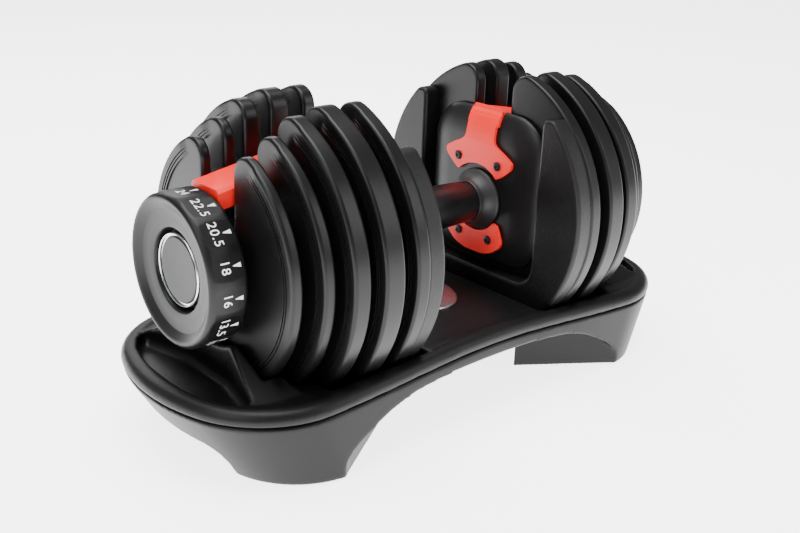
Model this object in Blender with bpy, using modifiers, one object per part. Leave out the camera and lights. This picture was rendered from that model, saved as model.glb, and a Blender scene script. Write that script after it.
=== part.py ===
"""Adjustable dumbbell in its tray: a selector dumbbell whose two dials pick up nested plates.

Metres, +Z up. The handle lies along X at AXIS_Z. The origin is on the floor under the middle of the tray.
Every dimension of one end is a distance from the middle, so one set of numbers serves both ends.
"""

import math

import bmesh
import bpy
from mathutils import Euler, Matrix, Vector

MM = 0.001
GAP = 0.3 * MM  # running clearance between neighbouring pieces
WELD = 0.00001
START_ANGLE = math.radians(5)  # keeps a turned piece's facets off the edges of what is joined to it

# The dumbbell
AXIS_Z = 124.7 * MM
SHAFT_RADIUS = 8 * MM
SHAFT_HALF_LENGTH = 185.5 * MM
BORE_RADIUS = SHAFT_RADIUS + GAP
GRIP_HALF_LENGTH = 52 * MM
GRIP_RADIUS_END = 15.2 * MM
GRIP_RADIUS_MIDDLE = 16.8 * MM
COLLAR_RADIUS = 23.5 * MM

# The plates, outermost first: inner face, outer face and radius
PLATES = (
    (157 * MM, 165 * MM, 81 * MM),
    (139.5 * MM, 148 * MM, 90 * MM),
    (120.5 * MM, 133 * MM, 99.5 * MM),
    (97 * MM, 112.5 * MM, 103.4 * MM),
    (76 * MM, 87 * MM, 103 * MM),
)
SLOT_HALF_WIDTH = 17.6 * MM
SLOT_THROAT_HALF_WIDTH = 15 * MM
SLOT_THROAT_TOP = 34 * MM
SLOT_THROAT_BOTTOM = 20 * MM
HORN_RADIUS = 13 * MM
RING_INNER_FACE = 63 * MM  # the innermost plate's thick rim
RECESS_HALF_WIDTH = 60.5 * MM  # the guard sits in this recess
RECESS_BELOW_AXIS = 54 * MM
RECESS_CORNER = 16 * MM
THICK_RIM_STEP = 1.5 * MM
THICK_RIM_TOP = 74 * MM  # above the axis
THICK_RIM_CORNER = 4 * MM

# The selector discs turn in the gap outside each plate. A disc lifts its plate by a flange that
# passes under the plate's tab, and the flange is there only in the sectors of the settings that use it.
SETTINGS = 15
SECTOR = 360 / SETTINGS  # degrees
DISC_RADIUS = 26.2 * MM
DISC_HUB_RADIUS = 12.2 * MM
DISC_STEPS = 20
WEB = 3 * MM
FLANGE_INNER = 22 * MM
FLANGE_OUTER = 25.8 * MM
FLANGE_STEP = 0.5 * MM  # from the plate's face to the flange
TAB_HALF_WIDTH = 4.5 * MM
TAB_TOP = 17 * MM
TAB_BOTTOM = 21 * MM
FLANGE_DEPTHS = (2.0 * MM, 2.5 * MM, 1.9 * MM, 2.5 * MM, 2.5 * MM)
OUTER_WEB = 2.2 * MM
PICKED = (
    (1, 3, 5, 7, 14),
    (2, 3, 6, 7, 9, 11, 13, 14),
    (4, 5, 6, 7, 10, 11, 12, 13, 14),
    (12, 13, 14),
    (8, 9, 10, 11, 12, 13, 14),
)

# The dial
DIAL_BACK = 174.6 * MM
DIAL_FACE = 200 * MM
DIAL_RADIUS = 49.8 * MM
DIAL_RADIUS_BACK = 49.2 * MM
DIAL_RADIUS_FACE = 48.4 * MM
DIAL_SEAT = 186 * MM  # the floor of the hole that holds the ring and the cap
DIAL_HOLE = 27 * MM
RING_INNER = 21.6 * MM
RING_OUTER = 24 * MM
RING_FRONT = 194 * MM
DIAL_STEPS = 30

# Guard, bridge and brackets
GUARD_INNER = 66 * MM
GUARD_OUTER = 75.4 * MM
GUARD_HALF_WIDTH = 57 * MM
GUARD_TOP = 68.5 * MM  # above the axis
GUARD_BOTTOM = -50.5 * MM
GUARD_CORNER = 30 * MM
BRACKET_INNER = 63 * MM
BRACKET_ARC = 27.8 * MM  # above the collar
LOWER_BRACKET_ARC = 24.3 * MM
END_BRACKET_INNER = 170 * MM
END_BRACKET_OUTER = 173.6 * MM
BEAM_TOP_AT_DIAL = 51 * MM
BEAM_TOP_AT_GUARD = 71.5 * MM
BEAM_TOP_HALF = 13.6 * MM
BEAM_SIDE_HALF = 15.6 * MM
BEAM_CHAMFER = 2 * MM
BEAM_SHORT = 0.6 * MM  # how far the beam stops short of each bracket's face
BEAM_DEPTH = 13 * MM
NOTCH_GAP = 0.5 * MM
UPPER_SCREWS = (20.6 * MM, 30 * MM)
LOWER_SCREWS = (15.8 * MM, -29 * MM)
PIN_X = 171.8 * MM
PIN_THICKNESS = 1.2 * MM
PIN_WIDTH = 5 * MM
PIN_BOTTOM = -31 * MM
PIN_TOP = -16 * MM

# The tray
TRAY_HALF_LENGTH = 220.5 * MM
TRAY_HALF_WIDTH = 94.5 * MM
TRAY_CORNER = 72 * MM
TRAY_BULGE = 4 * MM
WAIST = 3 * MM
PARTING_END = 47 * MM
PARTING_MIDDLE = 54.5 * MM
SADDLE_REACH = 170 * MM
FOOT_HALF_LENGTH = 192 * MM
FOOT_HALF_WIDTH = 95.5 * MM
FOOT_CORNER = 60 * MM
SHELL = 3 * MM
FLOOR_GAP = 1 * MM  # under the skirt, between the rubber feet
LEG_FLOOR = 6 * MM
LEG_WALL_TOP = 42 * MM
WELL_CLEARANCE = 1.5 * MM
WELL_INNER = 56 * MM
WELL_STEPS = (168 * MM, 154 * MM, 136.5 * MM)
DIVIDER_INNER = 168.3 * MM
DIVIDER_OUTER = 172.3 * MM
CRADLE_RADIUS = 54 * MM
TROUGH_HALF_WIDTH = 63.5 * MM
TROUGH_END = 208.5 * MM
TROUGH_CORNER = 30 * MM
TROUGH_FLOOR = 47.5 * MM
TROUGH_TOP = 54.6 * MM
DISH_TOP = 75 * MM  # clear above the rim
BOSS_TOP = 54 * MM
BOSS_RADIUS = 5 * MM
PILOT_TOP = 24 * MM
PILOT_RADIUS = 2.2 * MM
POCKET_TOP = 60 * MM  # above the skirt
UNDER = -2 * MM  # cuts into the underside start here
COUNTERBORE_TOP = 3.4 * MM
COUNTERBORE_RADIUS = 4.4 * MM
SCREW_HOLE_TOP = 8 * MM
SCREW_HOLE_RADIUS = 2.3 * MM
PAD_SEAT_TOP = 3 * MM
PAD_PLACE = (165 * MM, 62 * MM)
PAD_RADIUS = 9 * MM
SCREW_PLACE = (140 * MM, 76 * MM)
BADGE_LENGTH = 30 * MM  # half of it, along the handle
BADGE_WIDTH = 40 * MM
TUB_FACETS = 36
CORNER_STEPS = 5
SIDE_STEPS = 4
LEG_INNER = (65 * MM, 49 * MM)  # the inner corner of a leg, and a point further out on its slanted wall
LEG_OUTER = (135 * MM, 95 * MM)
BEYOND = (240 * MM, 130 * MM)
SHELL_REACH = 25 * MM  # how far inward an arch's cutter reaches, past the slanting wall


def mm(*pairs):
    """Points given in millimetres, as metres."""
    return [tuple(value * MM for value in pair) for pair in pairs]


# Half of the arch under each long side and each end, from the foot in, as (distance, height)
ARCH = mm((139, -5), (135, 8), (127, 18), (113, 27), (97, 35), (74, 41.5), (45, 44.5), (0, 46))
END_ARCH = mm((48.5, -5), (48.5, 13), (45, 19), (37, 22))


def mirrored(half):
    """An outline from its +first half, which starts and ends off the line of symmetry or on it."""
    other = [(-a, b) for a, b in reversed(half) if abs(a) > WELD]
    return half + other


def arc(centre, radius, start, end, steps):
    """Points on an arc, in degrees, ends included."""
    angles = [math.radians(start + (end - start) * i / steps) for i in range(steps + 1)]
    return [(centre[0] + radius * math.cos(a), centre[1] + radius * math.sin(a)) for a in angles]


# ---------------------------------------------------------------- scene, materials and objects

for old in list(bpy.data.objects):
    bpy.data.objects.remove(old, do_unlink=True)

PARTS = bpy.data.collections.new("adjustable_dumbbell")
CUTTERS = bpy.data.collections.new("cutters")
for made in (PARTS, CUTTERS):
    bpy.context.scene.collection.children.link(made)


def material(name, colour, roughness, metallic=0.0):
    made = bpy.data.materials.new(name)
    made.use_nodes = True
    shader = made.node_tree.nodes["Principled BSDF"]
    shader.inputs["Base Color"].default_value = (*colour, 1)
    shader.inputs["Roughness"].default_value = roughness
    shader.inputs["Metallic"].default_value = metallic
    return made


TRAY_PLASTIC = material("tray_plastic", (0.022, 0.022, 0.024), 0.42)
PLATE_BLACK = material("plate_black", (0.018, 0.018, 0.020), 0.35)
DIAL_BLACK = material("dial_black", (0.016, 0.016, 0.018), 0.38)
RED_PLASTIC = material("red_plastic", (0.85, 0.05, 0.035), 0.38)
SILVER = material("silver", (0.62, 0.63, 0.65), 0.3, 1.0)
STEEL = material("steel", (0.5, 0.5, 0.51), 0.35, 1.0)
SCREW_BLACK = material("screw_black", (0.02, 0.02, 0.02), 0.4, 0.6)
RUBBER = material("rubber", (0.012, 0.012, 0.013), 0.7)


def empty(name, location):
    made = bpy.data.objects.new(name, None)
    made.location = location
    PARTS.objects.link(made)
    return made


HANDLE = empty("handle_axis", (0, 0, AXIS_Z))
LEFT = empty("left_dial_axis", (-DIAL_BACK, 0, AXIS_Z))
RIGHT = empty("right_dial_axis", (DIAL_BACK, 0, AXIS_Z))
ENDS = (("left", -1, LEFT), ("right", 1, RIGHT))


def place(made, finish, parent=None):
    """Give a piece its finish, its collection and its parent, without moving it."""
    made.data.materials.clear()
    made.data.materials.append(finish)
    PARTS.objects.link(made)
    made.data.shade_smooth()
    made.data.set_sharp_from_angle(angle=math.radians(30))
    if parent:
        made.location = made.location - parent.location
        made.parent = parent
    return made


def cutter(made):
    CUTTERS.objects.link(made)
    made.hide_render = True
    made.display_type = "WIRE"
    return made


def boolean(piece, tool, operation):
    step = piece.modifiers.new(tool.name, "BOOLEAN")
    step.operation = operation
    step.solver = "EXACT"
    step.object = tool
    return piece


def cut(piece, *tools):
    for tool in tools:
        boolean(piece, cutter(tool), "DIFFERENCE")
    return piece


def join(piece, *tools):
    for tool in tools:
        boolean(piece, cutter(tool), "UNION")
    return piece


# ---------------------------------------------------------------- shapes


def turned(name, profile, x, side=1, steps=32):
    """A turned solid about the handle's axis. Its profile holds (radius, distance from the middle)."""
    mesh = bpy.data.meshes.new(name)
    bm = bmesh.new()
    turn = (math.cos(START_ANGLE), math.sin(START_ANGLE))
    ring = [bm.verts.new((radius * turn[0], radius * turn[1], along - x)) for radius, along in profile]
    for first, second in zip(ring, ring[1:]):
        bm.edges.new((first, second))
    if profile[0][0] > WELD:
        bm.edges.new((ring[-1], ring[0]))
    bm.to_mesh(mesh)
    bm.free()
    made = bpy.data.objects.new(name, mesh)
    made.location = (side * x, 0, AXIS_Z)
    made.rotation_euler = (0, side * math.pi / 2, 0)
    screw = made.modifiers.new("turn", "SCREW")
    screw.steps = screw.render_steps = steps
    screw.use_merge_vertices = True
    screw.merge_threshold = WELD
    return made


def closed_mesh(curve, matrix):
    """The mesh of a filled curve, with its caps welded to its sides."""
    name = curve.name
    flat = bpy.data.objects.new("flat_shape", curve)
    flat.matrix_world = matrix
    bpy.context.scene.collection.objects.link(flat)
    bpy.context.view_layer.update()
    evaluated = flat.evaluated_get(bpy.context.evaluated_depsgraph_get())
    mesh = bpy.data.meshes.new_from_object(evaluated)
    bm = bmesh.new()
    bm.from_mesh(mesh)
    bmesh.ops.remove_doubles(bm, verts=bm.verts, dist=WELD)
    bmesh.ops.recalc_face_normals(bm, faces=bm.faces)
    bm.to_mesh(mesh)
    bm.free()
    made = bpy.data.objects.new(name, mesh)
    made.matrix_world = flat.matrix_world
    bpy.data.objects.remove(flat, do_unlink=True)
    bpy.data.curves.remove(curve)
    return made


def flat_shape(name, outlines, thickness):
    curve = bpy.data.curves.new(name, "CURVE")
    curve.dimensions = "2D"
    curve.fill_mode = "BOTH"
    curve.extrude = thickness / 2
    for outline in outlines:
        spline = curve.splines.new("POLY")
        spline.points.add(len(outline) - 1)
        for point, (a, b) in zip(spline.points, outline):
            point.co = (a, b, 0, 1)
        spline.use_cyclic_u = True
    return curve


SQUARE_TO_HANDLE = Euler((math.pi / 2, 0, math.pi / 2)).to_matrix().to_4x4()
SQUARE_TO_LONG_SIDE = Euler((math.pi / 2, 0, 0)).to_matrix().to_4x4()


def across(name, outlines, start, end):
    """A flat shape square to the handle, from one X to another. Its outlines hold (Y, Z above the axis)."""
    curve = flat_shape(name, outlines, abs(end - start))
    middle = Matrix.Translation(((start + end) / 2, 0, AXIS_Z))
    return closed_mesh(curve, middle @ SQUARE_TO_HANDLE)


def level(name, outlines, bottom, top):
    """A flat shape seen from above, between two heights. Its outlines hold (X, Y)."""
    curve = flat_shape(name, outlines, top - bottom)
    return closed_mesh(curve, Matrix.Translation((0, 0, (bottom + top) / 2)))


def box(name, low, high):
    mesh = bpy.data.meshes.new(name)
    bm = bmesh.new()
    bmesh.ops.create_cube(bm, size=1)
    low, high = Vector(low), Vector(high)
    bmesh.ops.scale(bm, vec=high - low, verts=bm.verts)
    bm.to_mesh(mesh)
    bm.free()
    made = bpy.data.objects.new(name, mesh)
    made.location = (low + high) / 2
    return made


def rod(name, x, y, bottom, top, radius, sides=12):
    """An upright rod."""
    mesh = bpy.data.meshes.new(name)
    bm = bmesh.new()
    bmesh.ops.create_cone(
        bm, cap_ends=True, segments=sides, radius1=radius, radius2=radius, depth=top - bottom
    )
    bm.to_mesh(mesh)
    bm.free()
    made = bpy.data.objects.new(name, mesh)
    made.location = (x, y, (bottom + top) / 2)
    return made


def loft(name, rings):
    """A solid through rings that share one count of points and mirror across Y.

    The first and last rings are closed by strips from each point to its mirror image.
    """
    mesh = bpy.data.meshes.new(name)
    bm = bmesh.new()
    rows = [[bm.verts.new(point) for point in ring] for ring in rings]
    count = len(rows[0])
    for low, high in zip(rows, rows[1:]):
        for i in range(count):
            after = (i + 1) % count
            bm.faces.new((low[i], low[after], high[after], high[i]))
    for row, up in ((rows[0], False), (rows[-1], True)):
        for i in range(count // 2):
            strip = [row[i], row[i + 1], row[(count - i - 1) % count], row[(count - i) % count]]
            strip = [v for n, v in enumerate(strip) if v not in strip[:n]]
            bm.faces.new(strip if up else reversed(strip))
    bmesh.ops.recalc_face_normals(bm, faces=bm.faces)
    bm.to_mesh(mesh)
    bm.free()
    return bpy.data.objects.new(name, mesh)


# ---------------------------------------------------------------- plates


def plate_outline(radius):
    """A round plate, open at the top for the handle, with a rounded horn each side of the slot."""
    reach = radius - HORN_RADIUS
    horn_y = SLOT_HALF_WIDTH + HORN_RADIUS
    horn = (horn_y, math.sqrt(reach**2 - horn_y**2))
    tangent = math.degrees(math.atan2(horn[1], horn[0]))
    rim = arc((0, 0), radius, -90, tangent, 21)
    tip = arc(horn, HORN_RADIUS, tangent, 180, 5)[1:]
    throat = [(SLOT_HALF_WIDTH, SLOT_THROAT_TOP), (SLOT_THROAT_HALF_WIDTH, SLOT_THROAT_BOTTOM)]
    cradle = arc((0, 0), SLOT_THROAT_HALF_WIDTH, 0, -90, 5)
    return mirrored(rim + tip + throat + cradle)


def thick_rim_outline(radius):
    """The innermost plate's thick part: round outside, with the guard's recess open at the top."""
    corner = RECESS_CORNER
    low = -RECESS_BELOW_AXIS
    edge = math.degrees(math.asin(THICK_RIM_TOP / radius))
    rim = arc((0, 0), radius, -90, edge, 18)
    top = (RECESS_HALF_WIDTH + THICK_RIM_CORNER, THICK_RIM_TOP - THICK_RIM_CORNER)
    shoulder = arc(top, THICK_RIM_CORNER, 90, 180, 3)
    bend = arc((RECESS_HALF_WIDTH - corner, low + corner), corner, 0, -90, 4)
    inside = shoulder + bend
    return rim + inside + [(-a, b) for a, b in reversed(inside)] + [(-a, b) for a, b in reversed(rim[1:])]


def plates():
    for label, side, _ in ENDS:
        for number, (inner, outer, radius) in enumerate(PLATES, 1):
            name = f"{label}_plate_{number}"
            plate = across(name, [plate_outline(radius)], side * inner, side * outer)
            depth = FLANGE_DEPTHS[number - 1]
            faces = sorted((side * (outer - 2 * MM), side * (outer + depth)))
            tab = box(
                f"{name}_tab",
                (faces[0], -TAB_HALF_WIDTH, AXIS_Z - TAB_BOTTOM),
                (faces[1], TAB_HALF_WIDTH, AXIS_Z - TAB_TOP),
            )
            if number == len(PLATES):
                outline = thick_rim_outline(radius - THICK_RIM_STEP)
                thick = across(f"{name}_rim", [outline], side * RING_INNER_FACE, side * (inner + 2 * MM))
                join(plate, thick)
            place(join(plate, tab), PLATE_BLACK)


# ---------------------------------------------------------------- selectors


def runs(picked):
    """The settings a disc's flange covers, as (first, last) pairs round the circle."""
    found = []
    for setting in picked:
        if found and found[-1][1] == setting - 1:
            found[-1][1] = setting
        else:
            found.append([setting, setting])
    return found


def web_face(number):
    """Where a disc's web starts, just clear of its plate's tab."""
    return PLATES[number - 1][1] + FLANGE_DEPTHS[number - 1] + 0.4 * MM


def selector_discs():
    for label, side, axis in ENDS:
        for number, ((inner, outer, _), picked) in enumerate(zip(PLATES, PICKED), 1):
            name = f"{label}_selector_disc_{number}"
            web = OUTER_WEB if number == 1 else WEB
            web_start = web_face(number)
            web_end = web_start + web
            if number == len(PLATES):
                hub_start = GUARD_OUTER + GAP
            else:
                hub_start = web_face(number + 1) + WEB + GAP
            profile = [
                (BORE_RADIUS, web_end),
                (DISC_RADIUS, web_end),
                (DISC_RADIUS, web_start),
                (DISC_HUB_RADIUS, web_start),
                (DISC_HUB_RADIUS, hub_start),
                (BORE_RADIUS, hub_start),
            ]
            disc = turned(name, profile, web_start, side, DISC_STEPS)
            start = outer + FLANGE_STEP
            for first, last in runs(picked):
                low = -90 + side * (SETTINGS - last - 1.5) * SECTOR
                high = -90 + side * (SETTINGS - first - 0.5) * SECTOR
                steps = 2 * (last - first + 1)
                outside = arc((0, 0), FLANGE_OUTER, low, high, steps)
                inside = arc((0, 0), FLANGE_INNER, high, low, steps)
                flange = across(
                    f"{name}_flange_{first}",
                    [outside + inside],
                    side * start,
                    side * (web_start + web / 2),
                )
                join(disc, flange)
            place(disc, PLATE_BLACK, axis)


def dials():
    for label, side, axis in ENDS:
        hub_end = web_face(1) + OUTER_WEB + GAP
        profile = [
            (BORE_RADIUS, DIAL_SEAT),
            (DIAL_HOLE - 0.4 * MM, DIAL_SEAT),
            (DIAL_HOLE, 194.6 * MM),
            (39.3 * MM, 196 * MM),
            (45.6 * MM, DIAL_FACE),
            (47.2 * MM, 199.4 * MM),
            (DIAL_RADIUS_FACE, 197 * MM),
            (DIAL_RADIUS, 188 * MM),
            (DIAL_RADIUS_BACK, DIAL_BACK),
            (DISC_HUB_RADIUS, DIAL_BACK),
            (DISC_HUB_RADIUS, hub_end),
            (BORE_RADIUS, hub_end),
        ]
        place(turned(f"{label}_dial", profile, DIAL_BACK, side, DIAL_STEPS), DIAL_BLACK, axis)
        foot = DIAL_SEAT + GAP
        ring = [
            (RING_INNER, RING_FRONT),
            (RING_OUTER - 0.6 * MM, RING_FRONT),
            (RING_OUTER, RING_FRONT - 0.8 * MM),
            (RING_OUTER, foot),
            (RING_INNER, foot),
        ]
        place(turned(f"{label}_dial_ring", ring, DIAL_SEAT, side, DIAL_STEPS), SILVER, axis)
        cap_radius = RING_INNER - GAP
        front = RING_FRONT - 0.4 * MM
        cap = [
            (0, front),
            (cap_radius - 1 * MM, front),
            (cap_radius, front - 0.8 * MM),
            (cap_radius, foot),
            (0, foot),
        ]
        place(turned(f"{label}_dial_cap", cap, DIAL_SEAT, side, DIAL_STEPS), DIAL_BLACK, axis)


# ---------------------------------------------------------------- handle


def handle():
    end = SHAFT_HALF_LENGTH
    shaft = [(0, end), (SHAFT_RADIUS, end), (SHAFT_RADIUS, -end), (0, -end)]
    place(turned("handle_shaft", shaft, 0, 1, 20), STEEL, HANDLE)
    stations = [GRIP_HALF_LENGTH * t for t in (1, 0.6, 0.2, -0.2, -0.6, -1)]
    swell = GRIP_RADIUS_MIDDLE - GRIP_RADIUS_END
    outside = [(GRIP_RADIUS_END + swell * (1 - (x / GRIP_HALF_LENGTH) ** 2), x) for x in stations]
    profile = [(BORE_RADIUS, GRIP_HALF_LENGTH)] + outside + [(BORE_RADIUS, -GRIP_HALF_LENGTH)]
    place(turned("grip", profile, 0, 1, 20), RUBBER, HANDLE)
    for label, side, _ in ENDS:
        cone = [
            (BORE_RADIUS, GUARD_INNER - GAP),
            (COLLAR_RADIUS, GUARD_INNER - GAP),
            (COLLAR_RADIUS, 62.5 * MM),
            (16.2 * MM, 55 * MM),
            (16.2 * MM, GRIP_HALF_LENGTH + GAP),
            (BORE_RADIUS, GRIP_HALF_LENGTH + GAP),
        ]
        place(turned(f"{label}_collar", cone, GUARD_INNER, side, 20), RUBBER, HANDLE)


def guard_outline():
    corner = GUARD_CORNER
    half = GUARD_HALF_WIDTH
    low = arc((half - corner, GUARD_BOTTOM + corner), corner, -90, 0, 4)
    high = arc((half - corner, GUARD_TOP - corner), corner, 0, 90, 4)
    return mirrored(low + high)


def beam_ring(x, top):
    """The bridge's section at one X: a flat top, chamfered shoulders and upright sides."""
    half = [
        (BEAM_SIDE_HALF, top - BEAM_DEPTH),
        (BEAM_SIDE_HALF, top - BEAM_CHAMFER),
        (BEAM_TOP_HALF, top),
    ]
    return [(x, y, AXIS_Z + z) for y, z in mirrored(half)]


def prism_between(name, first, last):
    """A straight solid between two flat rings with the same count of points."""
    mesh = bpy.data.meshes.new(name)
    bm = bmesh.new()
    rows = [[bm.verts.new(point) for point in ring] for ring in (first, last)]
    count = len(first)
    for i in range(count):
        after = (i + 1) % count
        bm.faces.new((rows[0][i], rows[0][after], rows[1][after], rows[1][i]))
    for row in rows:
        bm.faces.new(row)
    bmesh.ops.recalc_face_normals(bm, faces=bm.faces)
    bm.to_mesh(mesh)
    bm.free()
    return bpy.data.objects.new(name, mesh)


def beam(name, side, start, end, extra=0.0):
    """The bridge's beam, or with extra a slightly larger copy that clears it."""

    def top(x):
        t = (x - END_BRACKET_OUTER) / (BRACKET_INNER - END_BRACKET_OUTER)
        return BEAM_TOP_AT_DIAL + (BEAM_TOP_AT_GUARD - BEAM_TOP_AT_DIAL) * t

    rings = []
    for x in (start, end):
        ring = beam_ring(side * x, top(x))
        if extra:
            middle = top(x) - BEAM_DEPTH / 2 + AXIS_Z
            grow = 1 + 2 * extra / BEAM_DEPTH
            ring = [(a, b * (1 + extra / BEAM_SIDE_HALF), middle + (c - middle) * grow) for a, b, c in ring]
        rings.append(ring)
    return prism_between(name, *rings)


def stem_outline():
    """The bridge's foot on the guard: a stem with a lobe for each screw, hollowed round the collar."""
    hollow = arc((0, 0), BRACKET_ARC, 90, 45, 5)
    lobe = mm((22.5, 20.5), (33, 29.3), (34.3, 32.5), (32.5, 35.8), (26, 39.7), (18, 43.4))
    rise = mm((14.4, 47), (14.4, 66))
    return mirrored(hollow + lobe + rise)


def lower_outline():
    hollow = arc((0, 0), LOWER_BRACKET_ARC, -90, -36, 5)
    lobe = mm((23.6, -15.5), (29.5, -27.5), (28.5, -32), (21, -38.5), (9, -42.3))
    return mirrored(hollow + lobe)


def screw_hole(name, side, y, z, radius, start, end, sides=10):
    circle = [(y + a, z + b) for a, b in arc((0, 0), radius, 0, 360, sides)[:-1]]
    return across(name, [circle], side * start, side * end)


def guards_and_bridges():
    for label, side, _ in ENDS:
        guard = across(f"{label}_inner_guard", [guard_outline()], side * GUARD_INNER, side * GUARD_OUTER)
        notch = beam(f"{label}_notch", side, GUARD_INNER - 5 * MM, GUARD_OUTER + 5 * MM, NOTCH_GAP)
        bore = screw_hole(f"{label}_guard_bore", side, 0, 0, BORE_RADIUS, 60 * MM, 80 * MM, 16)
        cut(guard, notch, bore)

        bridge = beam(f"{label}_bridge", side, BRACKET_INNER + BEAM_SHORT, END_BRACKET_OUTER - BEAM_SHORT)
        stem = across(f"{label}_stem", [stem_outline()], side * BRACKET_INNER, side * (GUARD_INNER - GAP))
        drop = mirrored(mm((7, -33), (13, -14), (14, 0), (14, 42)))
        post = across(f"{label}_drop", [drop], side * END_BRACKET_INNER, side * END_BRACKET_OUTER)
        join(bridge, stem, post)
        hub = screw_hole(
            f"{label}_hub_bore", side, 0, 0, DISC_HUB_RADIUS + 0.5 * MM, 168 * MM, 176 * MM, 20
        )
        half = PIN_THICKNESS / 2 + GAP
        edges = sorted((side * (PIN_X - half), side * (PIN_X + half)))
        track = box(
            f"{label}_pin_track",
            (edges[0], -PIN_WIDTH / 2 - GAP, AXIS_Z - 40 * MM),
            (edges[1], PIN_WIDTH / 2 + GAP, AXIS_Z + PIN_TOP + 1 * MM),
        )
        cut(bridge, hub, track)
        lower = across(
            f"{label}_lower_bracket", [lower_outline()], side * BRACKET_INNER, side * (GUARD_INNER - GAP)
        )
        for place_name, (y, z), piece in (("upper", UPPER_SCREWS, bridge), ("lower", LOWER_SCREWS, lower)):
            for hand, sign in (("near", -1), ("far", 1)):
                tag = f"{label}_{place_name}_screw_{hand}"
                clear = (f"{tag}_hole", side, sign * y, z, 2.3 * MM)
                cut(piece, screw_hole(*clear, 60 * MM, 70 * MM, 8))
                cut(guard, screw_hole(f"{tag}_socket", side, sign * y, z, 2.3 * MM, 64 * MM, 73 * MM, 8))
                head = [(0, 62.7 * MM), (3.4 * MM, 62.7 * MM), (3.4 * MM, 61.4 * MM), (0, 61.4 * MM)]
                shank = [(0, 72 * MM), (1.9 * MM, 72 * MM), (1.9 * MM, 62.4 * MM), (0, 62.4 * MM)]
                screw = turned(tag, head, 62 * MM, side, 10)
                stalk = turned(f"{tag}_shank", shank, 62 * MM, side, 8)
                for item in (screw, stalk):
                    item.location.y += sign * y
                    item.location.z += z
                join(screw, stalk)
                place(screw, SCREW_BLACK, HANDLE)
        place(bridge, RED_PLASTIC, HANDLE)
        place(lower, RED_PLASTIC, HANDLE)
        place(guard, DIAL_BLACK, HANDLE)

        half = PIN_THICKNESS / 2
        edges = sorted((side * (PIN_X - half), side * (PIN_X + half)))
        pin = box(
            f"{label}_lock_pin",
            (edges[0], -PIN_WIDTH / 2, AXIS_Z + PIN_BOTTOM),
            (edges[1], PIN_WIDTH / 2, AXIS_Z + PIN_TOP),
        )
        place(pin, STEEL, HANDLE)


# ---------------------------------------------------------------- tray


def parting(x):
    """The height of the line where the tray's top meets its skirt: low at the ends, high in the middle."""
    t = min(abs(x) / SADDLE_REACH, 1)
    return PARTING_MIDDLE + (PARTING_END - PARTING_MIDDLE) * t * t * (3 - 2 * t)


def plan(half_length, half_width, corner, waist=WAIST):
    """A rounded rectangle with bulging ends and a slight waist, from the +X tip, mirrored across Y."""
    straight = half_width - corner
    quarter = []
    for i in range(2):
        y = straight * i / 2
        quarter.append((half_length - TRAY_BULGE * (y / straight) ** 2, y))
    end = half_length - TRAY_BULGE
    quarter += arc((end - corner, straight), corner, 0, 90, CORNER_STEPS)
    side_start = end - corner
    for i in range(1, SIDE_STEPS + 1):
        x = side_start * (1 - i / SIDE_STEPS)
        t = 1 - x / side_start
        quarter.append((x, half_width - waist * t * t * (3 - 2 * t)))
    top = quarter + [(-x, y) for x, y in reversed(quarter[:-1])]
    return top + [(x, -y) for x, y in reversed(top[1:-1])]


def tray_ring(inset, rise):
    outline = plan(TRAY_HALF_LENGTH - inset, TRAY_HALF_WIDTH - inset, TRAY_CORNER - inset)
    return [(x, y, parting(x) + rise) for x, y in outline]


def foot_ring(inset, z):
    outline = plan(FOOT_HALF_LENGTH - inset, FOOT_HALF_WIDTH - inset, FOOT_CORNER - inset, 0)
    return [(x, y, z) for x, y in outline]


RIM = [
    (1 * MM, 0.3 * MM),
    (0, 4 * MM),
    (3 * MM, 9 * MM),
    (8 * MM, 10.4 * MM),
    (15 * MM, 8.6 * MM),
]


def tub_profile(extra):
    """The well's stepped outline under the plates, from the middle out, grown by extra."""
    big = PLATES[3][2] + WELL_CLEARANCE + extra
    middle = PLATES[1][2] + WELL_CLEARANCE + extra
    small = PLATES[0][2] + WELL_CLEARANCE + extra
    far, step_2, step_1 = (x + extra for x in WELL_STEPS)
    near = WELL_INNER - extra
    return [
        (0, far),
        (small, far),
        (small, step_2),
        (middle, step_2),
        (middle, step_1),
        (big, step_1),
        (big, near),
        (0, near),
    ]


def corners():
    for x_sign, x_name in ((-1, "left"), (1, "right")):
        for y_sign, y_name in ((-1, "near"), (1, "far")):
            yield f"{x_name}_{y_name}", x_sign, y_sign


def trough_plan(side, inset):
    """The hollow under a dial, seen from above: square to the divider and rounded at the tray's end."""
    half = TROUGH_HALF_WIDTH - inset
    end = TROUGH_END - inset
    near = DIVIDER_OUTER + 0.7 * MM if inset else DIVIDER_INNER + 1.3 * MM
    corner = TROUGH_CORNER - inset
    bend = arc((end - corner, half - corner), corner, 90, 0, 5)
    outline = [(near, half)] + bend
    return [(side * x, y) for x, y in outline + [(x, -y) for x, y in reversed(outline)]]


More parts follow.
